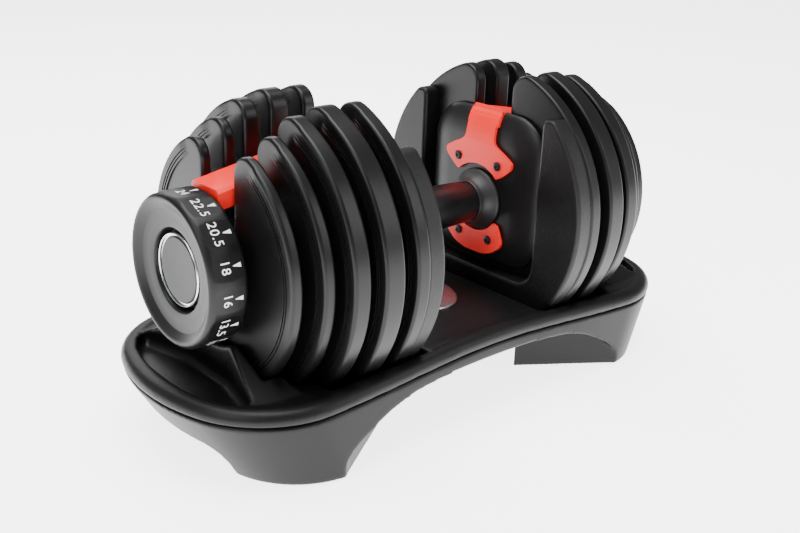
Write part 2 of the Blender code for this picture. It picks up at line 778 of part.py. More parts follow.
def tray_top():
    under = [tray_ring(SHELL + 0.6 * MM, 5.5 * MM), tray_ring(SHELL + 0.6 * MM, 0.3 * MM)]
    top = loft("tray_top", under + [tray_ring(*step) for step in RIM])
    for label, side, _ in ENDS:
        tub = turned(f"{label}_tub", tub_profile(SHELL), 0, side, TUB_FACETS)
        lowered = [tray_ring(inset, rise - 0.6 * MM) for inset, rise in RIM[1:]]
        deep = [(x, y, 5 * MM) for x, y, _ in lowered[0]]
        envelope = loft(f"{label}_envelope", [deep] + lowered)
        boolean(tub, cutter(envelope), "INTERSECT")
        peaks = arc((0, 0), CRADLE_RADIUS, -90, -62, 4)
        slope = mm((44, -67), (66, -72), (66, -78))
        divider = across(
            f"{label}_divider", [mirrored(peaks + slope)], side * DIVIDER_INNER, side * DIVIDER_OUTER
        )
        pan = level(f"{label}_pan", [trough_plan(side, 0)], TROUGH_FLOOR - SHELL, TROUGH_TOP)
        dish = level(f"{label}_dish", [trough_plan(side, SHELL)], TROUGH_FLOOR, DISH_TOP)
        join(top, tub, divider, pan)
        cut(top, turned(f"{label}_well", tub_profile(0), 0, side, TUB_FACETS), dish)
    for name, x_sign, y_sign in corners():
        x, y = x_sign * SCREW_PLACE[0], y_sign * SCREW_PLACE[1]
        join(top, rod(f"{name}_boss", x, y, LEG_FLOOR + GAP, BOSS_TOP, BOSS_RADIUS))
        cut(top, rod(f"{name}_pilot", x, y, 0, PILOT_TOP, PILOT_RADIUS, 8))
    place(top, TRAY_PLASTIC)


def slant_x(y, inset=0.0):
    """Where a leg's slanted wall stands at one distance from the tray's long middle line."""
    slope = (LEG_OUTER[0] - LEG_INNER[0]) / (LEG_OUTER[1] - LEG_INNER[1])
    return LEG_INNER[0] + (y - LEG_INNER[1]) * slope + inset * math.hypot(1, slope)


def between_legs(inset=0.0):
    """The cross-shaped space between the four legs, seen from above."""
    side = LEG_INNER[1] - inset
    quarter = [
        (slant_x(BEYOND[1], -inset), BEYOND[1]),
        (slant_x(side, -inset), side),
        (BEYOND[0], side),
    ]
    half = quarter + [(x, -y) for x, y in reversed(quarter)]
    return half + [(-x, -y) for x, y in half]


def inside_of_skirt(name):
    rings = [
        foot_ring(SHELL, -2 * MM),
        foot_ring(SHELL, FLOOR_GAP),
        tray_ring(SHELL + 0.6 * MM, -1.5 * MM),
        tray_ring(SHELL + 0.6 * MM, 9 * MM),
    ]
    return cutter(loft(name, rings))


def clipped_arch(skirt, arch):
    """Cut an arch through the skirt's outer wall, no wider than the space between the legs."""
    limit = cutter(level(f"{arch.name}_limit", [between_legs(GAP)], -20 * MM, 100 * MM))
    cut(skirt, boolean(arch, limit, "INTERSECT"))


def base_skirt():
    rings = [
        foot_ring(0, FLOOR_GAP),
        tray_ring(0.6 * MM, -1.5 * MM),
        tray_ring(1.4 * MM, -0.3 * MM),
    ]
    skirt = loft("base_skirt", rings)
    rooms = level("rooms", [between_legs()], -10 * MM, 90 * MM)
    above = (BEYOND[0] + 10 * MM, BEYOND[1] + 10 * MM)
    join(rooms, level("over_legs", [mirrored([(above[0], -above[1]), above])], LEG_WALL_TOP, 95 * MM))
    for name, x_sign, y_sign in corners():
        wall_y = LEG_INNER[1] + SHELL
        pocket = [
            (slant_x(wall_y, SHELL), wall_y),
            (BEYOND[0], wall_y),
            BEYOND,
            (slant_x(BEYOND[1], SHELL), BEYOND[1]),
        ]
        pocket = [(x_sign * x, y_sign * y) for x, y in pocket]
        join(rooms, level(f"{name}_pocket", [pocket], LEG_FLOOR, POCKET_TOP))
    cut(skirt, boolean(rooms, inside_of_skirt("skirt_inside"), "INTERSECT"))
    for side, tag in ((-1, "near"), (1, "far")):
        arch = flat_shape(f"{tag}_arch", [mirrored(ARCH)], BEYOND[1] - LEG_OUTER[1] + SHELL_REACH)
        middle = Matrix.Translation((0, side * (BEYOND[1] + LEG_OUTER[1] - SHELL_REACH) / 2, 0))
        clipped_arch(skirt, closed_mesh(arch, middle @ SQUARE_TO_LONG_SIDE))
    for label, side, _ in ENDS:
        arch = [(y, z - AXIS_Z) for y, z in mirrored(END_ARCH)]
        start = FOOT_HALF_LENGTH - SHELL_REACH
        cut(skirt, across(f"{label}_end_arch", [arch], side * start, side * BEYOND[0]))
    for label, side, _ in ENDS:
        cut(skirt, turned(f"{label}_tub_room", tub_profile(SHELL + 1 * MM), 0, side, TUB_FACETS))
    for name, x_sign, y_sign in corners():
        x, y = x_sign * SCREW_PLACE[0], y_sign * SCREW_PLACE[1]
        head = rod(f"{name}_counterbore", x, y, UNDER, COUNTERBORE_TOP, COUNTERBORE_RADIUS)
        hole = rod(f"{name}_screw_hole", x, y, 0, SCREW_HOLE_TOP, SCREW_HOLE_RADIUS, 8)
        seat_x, seat_y = x_sign * PAD_PLACE[0], y_sign * PAD_PLACE[1]
        seat = rod(f"{name}_pad_seat", seat_x, seat_y, UNDER, PAD_SEAT_TOP, PAD_RADIUS + GAP, 16)
        cut(skirt, head, hole, seat)
    place(skirt, TRAY_PLASTIC)


def tray_details():
    for name, x_sign, y_sign in corners():
        x, y = x_sign * SCREW_PLACE[0], y_sign * SCREW_PLACE[1]
        screw = rod(f"{name}_base_screw", x, y, 1 * MM, 3 * MM, 4 * MM, 10)
        shank = rod(f"{name}_base_screw_shank", x, y, 2.5 * MM, 22 * MM, 1.9 * MM, 8)
        place(join(screw, shank), STEEL)
        pad_x, pad_y = x_sign * PAD_PLACE[0], y_sign * PAD_PLACE[1]
        place(rod(f"{name}_rubber_foot", pad_x, pad_y, 0, 2.7 * MM, PAD_RADIUS, 16), RUBBER)
    for label, side, _ in ENDS:
        edges = sorted((side * 170.6 * MM, side * 173 * MM))
        foot = AXIS_Z - CRADLE_RADIUS + 0.4 * MM
        post = box(
            f"{label}_unlock_post",
            (edges[0], -3 * MM, foot),
            (edges[1], 3 * MM, AXIS_Z - 33.5 * MM),
        )
        place(post, STEEL)
    angles = [2 * math.pi * i / 36 for i in range(36)]
    oval = [(BADGE_LENGTH * math.cos(a), BADGE_WIDTH * math.sin(a)) for a in angles]
    deck = parting(0) + RIM[-1][1]
    place(level("badge", [oval], deck + GAP, deck + 2 * MM), SILVER)


plates()
selector_discs()
dials()
handle()
guards_and_bridges()
tray_top()
base_skirt()
tray_details()
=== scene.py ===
"""Looks for an adjustable dumbbell that stands in its moulded tray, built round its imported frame."""

import math

import bmesh
import bpy
from mathutils import Matrix, Vector


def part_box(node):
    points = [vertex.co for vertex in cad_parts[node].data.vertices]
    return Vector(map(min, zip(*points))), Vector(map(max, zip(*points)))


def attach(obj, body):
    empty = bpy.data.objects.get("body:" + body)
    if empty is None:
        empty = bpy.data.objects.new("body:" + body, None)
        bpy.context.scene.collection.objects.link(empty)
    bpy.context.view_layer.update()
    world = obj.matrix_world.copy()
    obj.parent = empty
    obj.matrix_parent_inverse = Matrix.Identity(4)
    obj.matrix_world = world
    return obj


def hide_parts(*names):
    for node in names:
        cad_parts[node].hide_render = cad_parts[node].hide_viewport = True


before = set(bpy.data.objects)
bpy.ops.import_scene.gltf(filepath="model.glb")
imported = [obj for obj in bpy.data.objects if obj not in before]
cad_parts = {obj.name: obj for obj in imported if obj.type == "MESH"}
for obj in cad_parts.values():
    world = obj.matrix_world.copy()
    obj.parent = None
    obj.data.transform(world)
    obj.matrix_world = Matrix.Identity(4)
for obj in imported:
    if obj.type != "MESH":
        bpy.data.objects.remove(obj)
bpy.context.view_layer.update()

MM = 0.001
SIDES = (("left", -1), ("right", 1))
PLATE_COUNT = 5
SETTINGS = (24, 22.5, 20.5, 18, 16, 13.5, 11, 10, 9, 8, 7, 5.5, 4.5, 3, 2)


def reach(node):
    """How far a node goes from the middle along the handle, as (near, far)."""
    low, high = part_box(node)
    return min(abs(low.x), abs(high.x)), max(abs(low.x), abs(high.x))


# The handle's axis and the sizes that the frame settles
AXIS_Z = (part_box("handle_shaft")[0].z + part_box("handle_shaft")[1].z) / 2
DIAL_FACE = reach("left_dial")[1]
GUARD_LOW, GUARD_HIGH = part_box("left_inner_guard")
TRAY_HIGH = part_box("tray_top")[1]
SKIRT_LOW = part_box("base_skirt")[0]

# Plates: inner face, outer face and radius, from the outermost in
PLATES = (
    (157 * MM, 165 * MM, 81 * MM),
    (139.5 * MM, 148 * MM, 90 * MM),
    (120.5 * MM, 133 * MM, 99.5 * MM),
    (97 * MM, 112.5 * MM, 103.3 * MM),
    (76 * MM, 87 * MM, 102.9 * MM),
)
SLOT = 17.6 * MM
HORN = 13 * MM
THROAT = 15 * MM
FACE_STEP = 0.9 * MM
GROOVE = 0.7 * MM
# The grooves along a plate's rim, as (inset in mm, share of the groove's depth)
GROOVES = ((10.5, 0), (9.4, 0), (9.2, 1), (8.3, 1), (8.1, 0), (7.2, 0), (7.0, 1), (6.3, 1), (6.1, 0))


# ---------------------------------------------------------------- finishes


class Shade:
    """A value in a material. Arithmetic on it adds the Math nodes it needs."""

    def __init__(self, finish, socket):
        self.finish = finish
        self.socket = socket

    def math(self, operation, first, second):
        return self.finish.add("ShaderNodeMath", {"operation": operation}, {0: first, 1: second}, 0)

    def __add__(self, other):
        return self.math("ADD", self, other)

    def __sub__(self, other):
        return self.math("SUBTRACT", self, other)

    def __rsub__(self, other):
        return self.math("SUBTRACT", other, self)

    def __mul__(self, other):
        return self.math("MULTIPLY", self, other)

    __radd__ = __add__
    __rmul__ = __mul__


class Finish:
    """A material under construction round one Principled shader."""

    def __init__(self, name, colour, roughness, metallic=0.0, **uniform):
        self.material = bpy.data.materials.new(name)
        self.material.use_nodes = True
        self.material.diffuse_color = (*colour, 1)
        self.nodes = self.material.node_tree.nodes
        self.links = self.material.node_tree.links
        self.shader = self.nodes["Principled BSDF"]
        self.set("Base Color", (*colour, 1))
        self.set("Roughness", roughness)
        self.set("Metallic", metallic)
        for socket, value in uniform.items():
            self.set(socket.replace("_", " "), value)

    def feed(self, socket, value):
        if isinstance(value, Shade):
            self.links.new(value.socket, socket)
        else:
            socket.default_value = value

    def set(self, name, value):
        self.feed(self.shader.inputs[name], value)

    def add(self, kind, settings, sockets, output):
        """Any node: its type, its settings, the values or links of its sockets, and the output wanted."""
        node = self.nodes.new(kind)
        for name, value in settings.items():
            setattr(node, name, value)
        for name, value in sockets.items():
            self.feed(node.inputs[name], value)
        return Shade(self, node.outputs[output])

    def place(self):
        return self.add("ShaderNodeTexCoord", {}, {}, "Object")

    def noise(self, scale, detail=3.0, rough=0.5):
        sockets = {"Vector": self.place(), "Scale": scale, "Detail": detail, "Roughness": rough}
        return self.add("ShaderNodeTexNoise", {}, sockets, "Fac")

    def ramp(self, value, low, high):
        """A value stretched so that low becomes 0 and high becomes 1."""
        sockets = {"Value": value, "From Min": low, "From Max": high}
        return self.add("ShaderNodeMapRange", {}, sockets, "Result")

    def mix(self, mask, first, second):
        sockets = {"Factor": mask, 6: (*first, 1), 7: (*second, 1)}
        return self.add("ShaderNodeMix", {"data_type": "RGBA"}, sockets, 2)

    def bump(self, height, distance, strength=1.0):
        sockets = {"Height": height, "Distance": distance, "Strength": strength}
        self.set("Normal", self.add("ShaderNodeBump", {}, sockets, "Normal"))


def moulded(name, colour, roughness, grain, depth, cloud=0.05, **uniform):
    """Moulded plastic: a fine grain in its surface, and faint clouds in its gloss and colour."""
    finish = Finish(name, colour, roughness, **uniform)
    fine = finish.noise(grain, 4.0, 0.6)
    clouds = finish.noise(26.0, 3.0)
    specks = finish.noise(grain * 0.45, 2.0)
    finish.set("Roughness", clouds * cloud + specks * (cloud * 0.8) + (roughness - cloud * 0.9))
    lighter = tuple(min(1.0, value * 1.35 + 0.0008) for value in colour)
    finish.set("Base Color", finish.mix(finish.ramp(clouds, 0.3, 0.7), colour, lighter))
    finish.bump(fine + specks * 0.7, depth)
    return finish.material


def brushed(name, colour, roughness, along):
    """Metal with fine brush marks: a noise that is stretched along one axis."""
    finish = Finish(name, colour, roughness, 1.0)
    scale = tuple(60.0 if axis == along else 2600.0 for axis in range(3))
    stretched = finish.add(
        "ShaderNodeMapping", {}, {"Vector": finish.place(), "Scale": scale}, "Vector"
    )
    marks = finish.add("ShaderNodeTexNoise", {}, {"Vector": stretched, "Scale": 1.0, "Detail": 3.0}, "Fac")
    finish.set("Roughness", marks * 0.22 + (roughness - 0.1))
    finish.bump(marks, 0.00002, 0.5)
    return finish.material


def turned_metal(name, colour, roughness):
    """Bright trim turned on a lathe: its marks run round the handle's axis."""
    finish = Finish(name, colour, roughness, 1.0)
    parts = finish.nodes.new("ShaderNodeSeparateXYZ")
    finish.feed(parts.inputs[0], finish.place())
    y, z = Shade(finish, parts.outputs[1]), Shade(finish, parts.outputs[2]) - AXIS_Z
    radius = finish.add("ShaderNodeMath", {"operation": "SQRT"}, {0: y * y + z * z}, 0)
    sockets = {"W": radius, "Scale": 3500.0}
    marks = finish.add("ShaderNodeTexNoise", {"noise_dimensions": "1D"}, sockets, "Fac")
    finish.set("Roughness", marks * 0.2 + (roughness - 0.08))
    finish.bump(marks, 0.000015, 0.6)
    return finish.material


TRAY_BLACK = moulded(
    "tray_plastic", (0.0030, 0.0030, 0.0034), 0.42, 1500.0, 0.00006, Specular_IOR_Level=0.22
)
PLATE_BLACK = moulded(
    "plate_skin", (0.0028, 0.0028, 0.0032), 0.34, 1900.0, 0.00003, Specular_IOR_Level=0.25
)
GRAINED_BLACK = moulded(
    "grained_skin", (0.0050, 0.0050, 0.0055), 0.42, 900.0, 0.00014, Specular_IOR_Level=0.25
)
DIAL_BLACK = moulded(
    "dial_plastic", (0.0028, 0.0028, 0.0032), 0.38, 1700.0, 0.00003, Specular_IOR_Level=0.25
)
GUARD_BLACK = moulded(
    "guard_plastic", (0.0055, 0.0055, 0.0060), 0.38, 1300.0, 0.00006, Specular_IOR_Level=0.25
)
HANDLE_RED = moulded(
    "red_plastic", (0.90, 0.014, 0.009), 0.36, 1600.0, 0.00003, 0.05, Specular_IOR_Level=0.3
)
GRIP_RUBBER = moulded("grip_rubber", (0.0045, 0.0045, 0.0050), 0.30, 900.0, 0.00005)
COLLAR_BLACK = moulded("collar_plastic", (0.0060, 0.0060, 0.0065), 0.50, 900.0, 0.00005)
FOOT_RUBBER = moulded("foot_rubber", (0.0150, 0.0150, 0.0150), 0.75, 700.0, 0.00015)
LABEL_WHITE = moulded("label_paint", (0.86, 0.86, 0.86), 0.50, 1200.0, 0.00001, 0.03)
BADGE_SILVER = brushed("badge_metal", (0.62, 0.63, 0.65), 0.30, 1)
RING_SILVER = turned_metal("ring_metal", (0.74, 0.76, 0.78), 0.22)
STEEL = brushed("plated_steel", (0.50, 0.50, 0.51), 0.34, 0)
SCREW_STEEL = turned_metal("blackened_steel", (0.035, 0.035, 0.037), 0.38)


# ---------------------------------------------------------------- pieces


def finished(piece, finish, body, slot, *nodes):
    """Shade a piece, tie it to its body and let it stand for its CAD nodes."""
    if piece.name not in bpy.context.scene.collection.all_objects:
        bpy.context.scene.collection.objects.link(piece)
    piece.data.materials.clear()
    piece.data.materials.append(finish)
    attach(piece, body)
    if nodes:
        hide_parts(*nodes)
    return piece


def smooth(piece, angle=35):
    piece.data.shade_smooth()
    piece.data.set_sharp_from_angle(angle=math.radians(angle))
    return piece


def even_normals(piece):
    """Keep the big flat faces flat where they run into rounded edges."""
    weighted = piece.modifiers.new("even_normals", "WEIGHTED_NORMAL")
    weighted.keep_sharp = True
    return piece


def rounded(piece, width, segments=3, angle=30):
    bevel = piece.modifiers.new("rounded", "BEVEL")
    bevel.width = width
    bevel.segments = segments
    bevel.limit_method = "ANGLE"
    bevel.angle_limit = math.radians(angle)
    bevel.harden_normals = False
    return piece


def mesh_of(bm, name):
    mesh = bpy.data.meshes.new(name)
    bm.normal_update()
    bm.to_mesh(mesh)
    bm.free()
    piece = bpy.data.objects.new(name, mesh)
    bpy.context.scene.collection.objects.link(piece)
    return piece


def rows_to_mesh(name, rows, closed=True, caps=(True, True)):
    """A skin through rows of points that share one count."""
    bm = bmesh.new()
    made = [[bm.verts.new(point) for point in row] for row in rows]
    count = len(rows[0])
    for low, high in zip(made, made[1:]):
        for i in range(count if closed else count - 1):
            after = (i + 1) % count
            bm.faces.new((low[i], low[after], high[after], high[i]))
    if caps[0]:
        bm.faces.new(list(reversed(made[0])))
    if caps[1]:
        bm.faces.new(made[-1])
    bmesh.ops.recalc_face_normals(bm, faces=bm.faces)
    return mesh_of(bm, name)


def arc(centre, radius, start, end, steps):
    """Points on an arc, in degrees, ends included."""
    angles = [math.radians(start + (end - start) * i / steps) for i in range(steps + 1)]
    return [(centre[0] + radius * math.cos(a), centre[1] + radius * math.sin(a)) for a in angles]


def mm(*pairs):
    return [tuple(value * MM for value in pair) for pair in pairs]


def mirrored(half):
    return half + [(-a, b) for a, b in reversed(half) if abs(a) > 1e-7]


def prism(name, outline, start, end):
    """A flat outline, as (Y, Z above the axis), from one X to another."""
    rows = [[(x, y, AXIS_Z + z) for y, z in outline] for x in (start, end)]
    return rows_to_mesh(name, rows)


def slab(name, outline, bottom, top):
    """A flat outline, as (X, Y), from one height to another."""
    return rows_to_mesh(name, [[(x, y, z) for x, y in outline] for z in (bottom, top)])


def lathe(name, profile, side, steps=96, middle=(0, 0)):
    """A turned solid about the handle's axis, from a profile of (radius, distance from the middle)."""
    bm = bmesh.new()
    rings = []
    for radius, along in profile:
        if radius < 1e-7:
            rings.append([bm.verts.new((side * along, middle[0], AXIS_Z + middle[1]))])
            continue
        points = arc(middle, radius, 0, 360, steps)[:-1]
        rings.append([bm.verts.new((side * along, y, AXIS_Z + z)) for y, z in points])
    pairs = list(zip(rings, rings[1:]))
    if len(rings[0]) > 1 or len(rings[-1]) > 1:
        pairs.append((rings[-1], rings[0]))
    for first, second in pairs:
        for i in range(steps):
            after = (i + 1) % steps
            corners = [first[i % len(first)], first[after % len(first)]]
            corners += [second[after % len(second)], second[i % len(second)]]
            corners = [v for n, v in enumerate(corners) if v not in corners[:n]]
            if len(corners) > 2:
                bm.faces.new(corners)
    bmesh.ops.recalc_face_normals(bm, faces=bm.faces)
    return mesh_of(bm, name)


def boolean(piece, tool, operation):
    step = piece.modifiers.new(operation.lower(), "BOOLEAN")
    step.operation = operation
    step.solver = "EXACT"
    step.object = tool
    return piece


def applied(piece, *tools):
    """Bake a piece's modifiers into its mesh, and clear away the tools that they used."""
    bpy.context.view_layer.update()
    evaluated = piece.evaluated_get(bpy.context.evaluated_depsgraph_get())
    mesh = bpy.data.meshes.new_from_object(evaluated)
    piece.modifiers.clear()
    piece.data = mesh
    for tool in tools:
        bpy.data.objects.remove(tool, do_unlink=True)
    return piece


def combined(piece, operation, *tools):
    for tool in tools:
        boolean(piece, tool, operation)
    return applied(piece, *tools)


def joined(name, pieces):
    """Several meshes as one piece, without cutting them into each other."""
    bm = bmesh.new()
    for piece in pieces:
        applied(piece)
        bm.from_mesh(piece.data)
        bpy.data.objects.remove(piece, do_unlink=True)
    return mesh_of(bm, name)


# ---------------------------------------------------------------- plates


def plate_outline(radius, inset):
    """One plate's outline pulled in by inset, as (Y, Z, band).

    Band is 1 along the round rim and 0 at the slot.
    """
    tip = max(HORN - inset, 0.6 * MM)
    horn_y = SLOT + inset + tip
    reach_out = radius - inset - tip
    horn = (horn_y, math.sqrt(reach_out**2 - horn_y**2))
    tangent = math.degrees(math.atan2(horn[1], horn[0]))
    rim = arc((0, 0), radius - inset, -90, tangent, 56)
    half = []
    for i, (y, z) in enumerate(rim):
        left = (tangent + 90) * (1 - i / 56)
        ease = min(max((left - 3) / 3.5, 0), 1)
        half.append((y, z, ease * ease * (3 - 2 * ease)))
    half += [(y, z, 0) for y, z in arc(horn, tip, tangent, 180, 9)[1:]]
    half += [(SLOT + inset, (34 - 8 * i / 2) * MM, 0) for i in range(2)]
    half.append((THROAT + inset, 20 * MM, 0))
    half += [(y, z, 0) for y, z in arc((0, 0), THROAT + inset, 0, -90, 9)]
    return half + [(-y, z, band) for y, z, band in reversed(half) if abs(y) > 1e-7]


def edge_rows(inset, drop, steps):
    """A quarter-round edge, as (inset, fall), from the flat face out to the rim."""
    turns = [math.pi / 2 * i / steps for i in range(1, steps + 1)]
    return [(inset * (1 - math.sin(a)), drop * (1 - math.cos(a))) for a in turns]


def plate_rows(thickness):
    """A plate's section from its outer face inwards, as (inset, fall from the outer face, banded)."""
    rows = [(13 * MM, 0, 0), (12.2 * MM, 0, 0), (11 * MM, 0, 0)]
    for inset, deep in GROOVES:
        rows.append((inset * MM, deep * GROOVE, 1))
    rows.append((3.6 * MM, 0, 1))
    rows += [(inset, fall, 1) for inset, fall in edge_rows(2.6 * MM, 2.4 * MM, 7)]
    rows.append((0, thickness - 2.4 * MM, 2))
    rows += [
        (inset, thickness - fall, 2) for inset, fall in reversed(edge_rows(2.0 * MM, 2.0 * MM, 4))
    ]
    rows += [(2.2 * MM, thickness, 2), (5 * MM, thickness, 2)]
    return rows


def plate_skin(name, side, inner, outer, radius):
    rows = []
    for inset, fall, banded in plate_rows(outer - inner):
        row = []
        for y, z, band in plate_outline(radius, inset):
            lift = {0: 0, 1: band, 2: 1}[banded]
            sunk = FACE_STEP * (1 - lift) + (fall * band if banded == 1 and inset > 5 * MM else fall)
            row.append((side * (outer - min(sunk, outer - inner)), y, AXIS_Z + z))
        rows.append(row)
    return smooth(rows_to_mesh(name, rows), 40)


def thick_rim(name, side, inner, radius):
    """The innermost plate's thick part: round outside, with the guard's recess in it."""
    near = reach("left_plate_5")[0]
    half_width, low, corner = 60.5 * MM, -54 * MM, 16 * MM
    top, bend = 74 * MM, 5 * MM
    edge = math.degrees(math.asin(top / radius))
    rim = arc((0, 0), radius, -90, edge, 60)
    shoulder = arc((half_width + bend, top - bend), bend, 90, 180, 8)
    outline = mirrored(rim + shoulder + arc((half_width - corner, low + corner), corner, 0, -90, 10))
    made = prism(name, outline, side * near, side * (inner + 2 * MM))
    return rounded(made, 2.6 * MM, 4)


def plates():
    for label, side in SIDES:
        for number, (inner, outer, radius) in enumerate(PLATES, 1):
            node = f"{label}_plate_{number}"
            skin = plate_skin(f"{node}_skin", side, inner, outer, radius)
            finished(even_normals(skin), PLATE_BLACK, node, "plate_black", node)
            if number == PLATE_COUNT:
                thick = thick_rim(f"{node}_thick_rim", side, inner, radius - 0.8 * MM)
                finished(even_normals(smooth(thick)), GRAINED_BLACK, node, "plate_black")


# ---------------------------------------------------------------- dials

DIAL_FLAT = 49.05 * MM
DIAL_STEPS = 360


def dial_side():
    """The dial's outer side, as (radius, distance from the middle), from its back edge to its face."""
    back, face = 174.6, DIAL_FACE / MM
    points = [(47.8, back), (48.7, back + 0.25), (49.15, back + 0.9)]
    steps = 30
    for i in range(steps + 1):
        x = back + 2 + (196.6 - back - 2) * i / steps
        swell = (x - 186.5) / 12.0
        points.append((49.8 - 0.42 * abs(swell) ** 2.4, x))
    points += [(49.0, 197.6), (48.5, 198.5), (47.8, 199.3), (47.0, 199.8), (46.2, face), (45.4, face - 0.1)]
    return mm(*points)


def dials():
    for label, side in SIDES:
        front = mm((44.0, 199.3), (39.9, 196.4), (39.2, 196.1), (33, 195.4), (28.2, 194.9), (27.5, 194.7))
        front += mm((27.1, 194.2), (26.9, 190), (26.6, 186), (8.4, 186))
        hub = mm((8.4, 172), (12.1, 172), (12.1, 174.6))
        made = lathe(f"{label}_dial_body", dial_side() + front + hub, side, DIAL_STEPS)
        for vertex in made.data.vertices:
            y, z = vertex.co.y, vertex.co.z - AXIS_Z
            radius = math.hypot(y, z)
            if radius < 48.3 * MM:
                continue
            off = (math.degrees(math.atan2(-y, z)) + 12) % 24 - 12
            flat = DIAL_FLAT / math.cos(math.radians(off))
            if flat < radius:
                vertex.co.y *= flat / radius
                vertex.co.z = AXIS_Z + z * flat / radius
        finished(
            smooth(made, 50), DIAL_BLACK, f"{label}_selector", "dial_black", f"{label}_dial"
        )
        ring = mm((21.7, 192.2), (22.5, 192.3), (22.7, 193.6), (23.2, 193.9), (23.7, 193.5), (23.9, 192.9))
        ring += mm((24, 192), (24, 186.3), (21.7, 186.3))
        finished(
            smooth(lathe(f"{label}_dial_trim", ring, side, 120)),
            RING_SILVER,
            f"{label}_selector",
            "silver_trim",
            f"{label}_dial_ring",
        )
        cap = mm((0, 192.9), (14, 193), (19.6, 193.3), (20.6, 193.3), (21.1, 192.9), (21.2, 192.2))
        cap += mm((21.2, 186.3), (0, 186.3))
        finished(
            smooth(lathe(f"{label}_dial_centre", cap, side, 120)),
            DIAL_BLACK,
            f"{label}_selector",
            "dial_black",
            f"{label}_dial_cap",
        )
        figures(label, side)


def figures(label, side):
    """The weight marks: one on each flat of the dial, with a wedge that points at it."""
    marks = []
    for index, value in enumerate(SETTINGS):
        angle = math.radians(24 * index)
        normal = Vector((0, -math.sin(angle), math.cos(angle)))
        up = Vector((-side, 0, 0))
        right = up.cross(normal)
        text = bpy.data.curves.new(f"{label}_mark_{index}", "FONT")
        text.body = f"{value:g}"
        text.size = 8.6 * MM
        text.space_character = 1.1
        text.align_x = "CENTER"
        text.align_y = "CENTER"
        text.extrude = 0.05 * MM
        text.resolution_u = 6
        flat = bpy.data.objects.new(text.name, text)
        bpy.context.scene.collection.objects.link(flat)
        bpy.context.view_layer.update()
        mesh = bpy.data.meshes.new_from_object(flat.evaluated_get(bpy.context.evaluated_depsgraph_get()))
        bpy.data.objects.remove(flat, do_unlink=True)
        wedge = bpy.data.meshes.new("wedge")
        bm = bmesh.new()
        tip, tail = -2.2 * MM, 3.2 * MM
        corners = [(-0.2 * MM, tip), (0.2 * MM, tip), (1.45 * MM, tail), (-1.45 * MM, tail)]
        low = [bm.verts.new((x, y, -0.05 * MM)) for x, y in corners]
        high = [bm.verts.new((x, y, 0.05 * MM)) for x, y in corners]
        bm.faces.new(high)
        bm.faces.new(reversed(low))
        for i in range(4):
            bm.faces.new((low[i], low[(i + 1) % 4], high[(i + 1) % 4], high[i]))
        bm.to_mesh(wedge)
        bm.free()
        basis = Matrix((right, up, normal)).transposed().to_4x4()
        for mesh_data, along, stretch in ((mesh, 188.6 * MM, 1.0), (wedge, 181.2 * MM, 1)):
            spot = Vector((side * along, 0, AXIS_Z)) + normal * (DIAL_FLAT + 0.07 * MM)
            squeeze = Matrix.Diagonal((stretch, 1, 1, 1))
            mesh_data.transform(Matrix.Translation(spot) @ basis @ squeeze)
            marks.append(bpy.data.objects.new("mark", mesh_data))
            bpy.context.scene.collection.objects.link(marks[-1])
    finished(joined(f"{label}_dial_figures", marks), LABEL_WHITE, f"{label}_selector", "label_white")


# ---------------------------------------------------------------- handle

BEAM_AT_DIAL = 51 * MM
BEAM_AT_GUARD = 71.5 * MM


def handle():
    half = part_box("grip")[1].x
    length = 60
    profile = []
    for i in range(length + 1):
        x = half * (1 - 2 * i / length)
        profile.append((15.2 * MM + 1.5 * MM * (1 - (x / half) ** 2), x))
    ends = [(8.4 * MM, half), (14.2 * MM, half)]
    grip = lathe("grip_sleeve", ends + profile + [(14.2 * MM, -half), (8.4 * MM, -half)], 1, 96)
    finished(smooth(grip), GRIP_RUBBER, "handle", "rubber", "grip")
    for label, side in SIDES:
        cone = mm((8.4, 65.7), (22.8, 65.7), (23.4, 65.2), (23.4, 64), (22.9, 63.2), (21.5, 62.4))
        cone += mm((18.4, 59.6), (16.4, 56.4), (16.1, 55.2), (16.1, 53), (15.8, 52.4), (8.4, 52.4))
        made = lathe(f"{label}_collar_cone", cone, side, 96)
        finished(smooth(made), COLLAR_BLACK, "handle", "rubber", f"{label}_collar")


def guard_outline(inset):
    corner, half = 30 * MM - inset, 57 * MM - inset
    low, high = GUARD_LOW.z - AXIS_Z + inset, GUARD_HIGH.z - AXIS_Z - inset
    lower = arc((half - corner, low + corner), corner, -90, 0, 12)
    upper = arc((half - corner, high - corner), corner, 0, 90, 12)
    return mirrored(lower + upper)


# How the guard's face falls away towards its edge, as (inset from the edge, fall) in mm
DOME = (
    (24, 0), (17, 0.8), (12, 1.8), (8.5, 2.8), (6, 3.7), (4, 4.6), (2.4, 5.5), (1.2, 6.4), (0.4, 7.3),
    (0, 8.1),
)


def dome(inset):
    """The guard's fall at one inset from its edge. It goes on beyond the edge, for the stem."""
    steps = mm(*DOME)
    for (outer, more), (inner, less) in zip(steps[::-1], steps[-2::-1]):
        if outer <= inset <= inner:
            return more + (less - more) * (inset - outer) / (inner - outer)
    return steps[-1][1] if inset < 0 else 0.0


def lean_back(piece, side):
    """Bend the stem's top over the domed guard."""
    bm = bmesh.new()
    bm.from_mesh(piece.data)
    top = GUARD_HIGH.z
    for inset, _ in DOME[:-1]:
        geometry = bm.verts[:] + bm.edges[:] + bm.faces[:]
        level = (0, 0, top - inset * MM)
        bmesh.ops.bisect_plane(bm, geom=geometry, plane_co=level, plane_no=(0, 0, 1))
    for vertex in bm.verts:
        if abs(vertex.co.x) < 66.5 * MM:
            vertex.co.x += side * dome(top - vertex.co.z)
    bm.to_mesh(piece.data)
    bm.free()
    return piece


